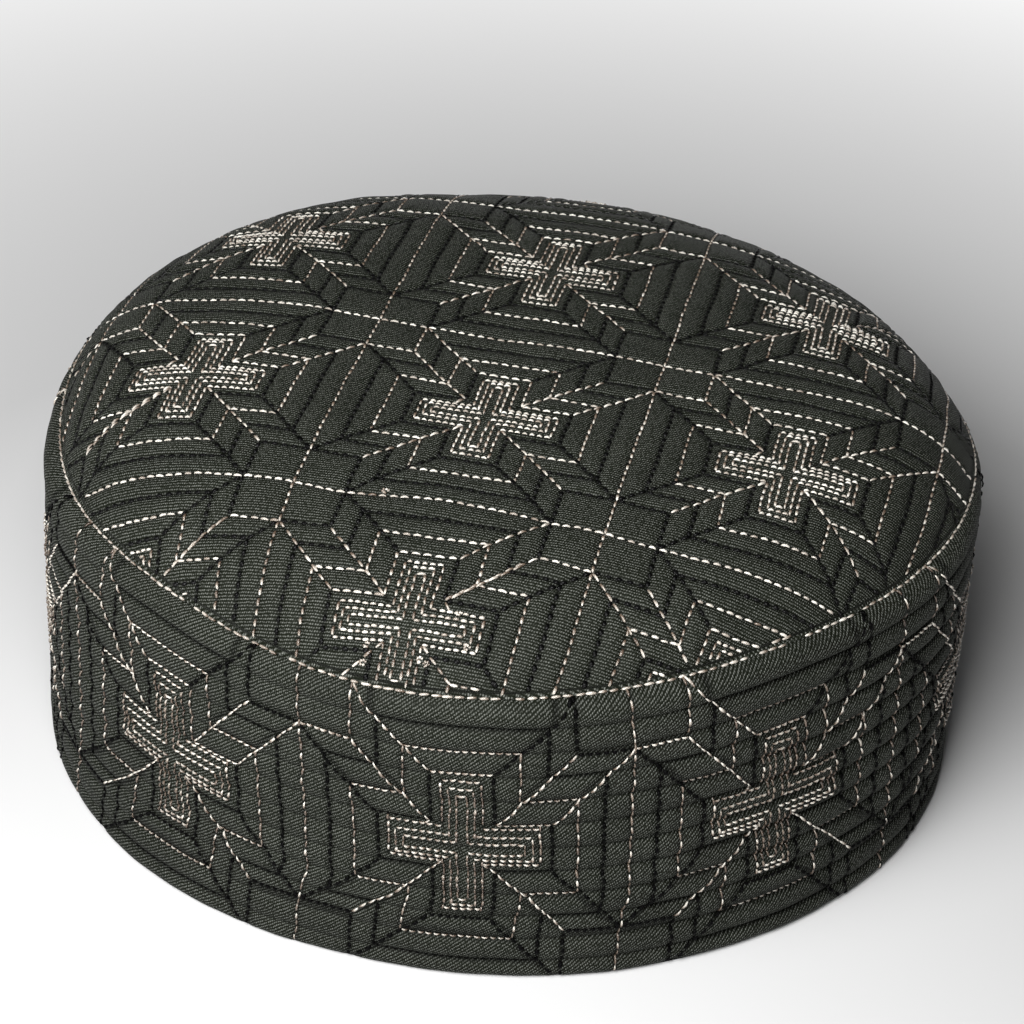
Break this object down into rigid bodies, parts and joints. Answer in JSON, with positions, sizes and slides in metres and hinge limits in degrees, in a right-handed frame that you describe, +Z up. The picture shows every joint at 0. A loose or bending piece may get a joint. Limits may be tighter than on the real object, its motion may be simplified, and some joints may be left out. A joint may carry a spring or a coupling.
{
  "type": "kufi",
  "caption": "Round brimless cap with a flat quilted crown that rolls down to a seam and a padded side band with horizontal ribs, open below for the head.",
  "frame": {"origin": "centre of the cap's bounding box, in the plane of the rim it rests on", "axes": "+Z up from the rim towards the crown; +Y away from the viewer along the rows of the crown's stitched pattern; +X to the viewer's right"},
  "size_m": [0.1931, 0.192, 0.0822],
  "materials": {
    "crown_cloth": "matt twill, dark green-grey",
    "band_cloth": "matt twill, dark green-grey"
  },
  "bodies": {
    "root": {"crown_panel": "crown_cloth", "side_band": "band_cloth"}
  },
  "joints": []
}
